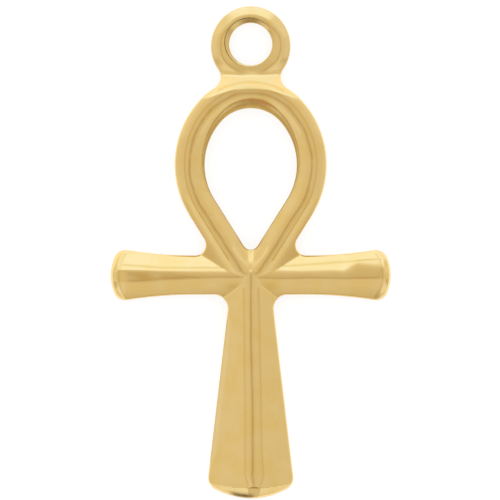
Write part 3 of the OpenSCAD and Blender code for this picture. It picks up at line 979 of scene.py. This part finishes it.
# The studio by direction: degrees from straight up, level, and how warm the light is there. The
# first and last stops are the same all round, and the last ones are pale behind the floor's edge.
OVERHEAD = ((0, 0.42, 1), (4, 0.44, 1))
HORIZON = ((88.6, 1.06, 0), (90, 1.06, 0))
SIDES = (
    (7, 0.66, 0.2),
    (20, 0.69, 0.1),
    (40, 0.69, 0.1),
    (48, 0.73, 0),
    (64, 0.78, -0.3),
    (74, 0.70, 0.2),
    (82, 0.70, 0.2),
    (87, 0.73, 0),
)
UPPER = (
    (7, 0.66, 0.2),
    (20, 0.69, 0.1),
    (36, 0.72, 0.1),
    (48, 0.78, -0.1),
    (65, 0.90, -0.3),
    (74, 0.76, 0),
    (87, 0.76, 0),
)
NORTH = (
    (7, 0.57, 0.3),
    (20, 0.61, 0.2),
    (32, 0.66, 0.1),
    (40, 0.73, 0.1),
    (46, 0.84, -0.3),
    (49, 1.10, -0.8),
    (62, 1.18, -0.85),
    (80, 1.10, -0.85),
    (87, 1.06, -0.6),
)
SKEW = (
    (7, 0.60, 0.3),
    (20, 0.68, 0.1),
    (29, 0.82, -0.3),
    (36, 0.80, -0.2),
    (45, 0.70, 0.1),
    (55, 0.61, 0.2),
    (70, 0.56, 0.4),
    (87, 0.56, 0.4),
)
DIAGONAL = (
    (7, 0.58, 0.3),
    (20, 0.70, 0.1),
    (35, 0.80, -0.2),
    (50, 0.82, -0.2),
    (65, 0.92, -0.4),
    (76, 0.90, -0.3),
    (84, 0.62, 0.3),
    (87, 0.56, 0.45),
)
SOUTH = (
    (8, 0.55, 0.3),
    (14, 0.58, 0.2),
    (20, 0.68, 0.1),
    (24, 0.70, 0.1),
    (40, 0.70, 0.1),
    (52, 0.66, 0.1),
    (60, 0.61, 0.3),
    (66, 0.50, 0.5),
    (76, 0.34, 1),
    (87, 0.28, 1),
)
# Where each takes over from the one before, as the part of a direction that points to the top of
# the picture. SIDES is what is left between them.
TURNS = (
    (0.2, 0.45, UPPER),
    (0.78, 0.88, NORTH),
    (-0.2, -0.45, SKEW),
    (-0.58, -0.72, DIAGONAL),
    (-0.9, -0.98, SOUTH),
)
BRIGHTEST = 1.3  # a ramp's colours stay below 1, so levels are parts of this
WARM_RED, WARM_BLUE, COOL_BLUE = 0.16, 0.24, 0.38
LEFT_BRIGHTER = -0.03
NOT_ZERO = 0.0001  # straight up and down have no bearing

world = bpy.data.worlds.new("studio")
bpy.context.scene.world = world
world.use_nodes = True
w = Nodes(world.node_tree)
background = world.node_tree.nodes["Background"]


def tinted(level, warmth):
    """Light of one level: warm above 0, cool below."""
    red = 1 + WARM_RED * warmth
    blue = 1 - (WARM_BLUE if warmth > 0 else COOL_BLUE) * warmth
    return (level * red / BRIGHTEST, level / BRIGHTEST, level * blue / BRIGHTEST, 1)


def profile(angle, own_stops):
    stops = OVERHEAD + own_stops + HORIZON
    node = w.add("ValToRGB", {"Fac": w.math("DIVIDE", angle, 90.0)})
    elements = node.color_ramp.elements
    while len(elements) < len(stops):
        elements.new(1.0)
    for element, (degrees, level, warmth) in zip(elements, stops):
        element.position = degrees / 90
        element.color = tinted(level, warmth)
    return node.outputs["Color"]


split = w.add("SeparateXYZ", {0: w.add("TexCoord").outputs["Generated"]})
dx, dy, dz = split.outputs
zenith = w.math("MULTIPLY", w.math("ARCCOSINE", dz), 180 / math.pi)
level_part = w.math("SQRT", w.math("ADD", w.math("MULTIPLY", dx, dx), w.math("MULTIPLY", dy, dy)))
bearing_y = w.math("DIVIDE", dy, w.math("MAXIMUM", level_part, NOT_ZERO))
light = profile(zenith, SIDES)
for start, end, stops in TURNS:
    light = w.mix(w.ramp(bearing_y, start, end), light, profile(zenith, stops))
slant = w.math("MULTIPLY_ADD", dx, LEFT_BRIGHTER, 1.0)
slant = w.add("CombineXYZ", {0: slant, 1: slant, 2: slant}).outputs[0]
w.set(background.inputs["Color"], w.mix(1.0, light, slant, "MULTIPLY"))
background.inputs["Strength"].default_value = BRIGHTEST

LAMP_SIZE, LAMP_HEIGHT, LAMP_WATTS = 1.0, 0.9, 4

lamp_data = bpy.data.lights.new("overhead", "AREA")
lamp_data.shape = "DISK"
lamp_data.size = LAMP_SIZE
lamp_data.energy = LAMP_WATTS
lamp = bpy.data.objects.new("overhead", lamp_data)
lamp.location = (0, 0, LAMP_HEIGHT)
lamp.visible_glossy = False
bpy.context.scene.collection.objects.link(lamp)

VIEW_W, VIEW_Z = 35.82, 0.8  # the photograph's width at the height of the outline
AIM_X, AIM_Y = -0.05, 0.15  # the middle of the photograph
LENS, SENSOR = 300, 36

camera_data = bpy.data.cameras.new("camera")
camera_data.lens = LENS
camera_data.sensor_width = SENSOR
camera_data.clip_start = 0.01
camera = bpy.data.objects.new("camera", camera_data)
camera.location = (AIM_X * MM, AIM_Y * MM, (VIEW_Z + VIEW_W * LENS / SENSOR) * MM)
bpy.context.scene.collection.objects.link(camera)
bpy.context.scene.camera = camera
bpy.context.scene.view_settings.view_transform = "Standard"
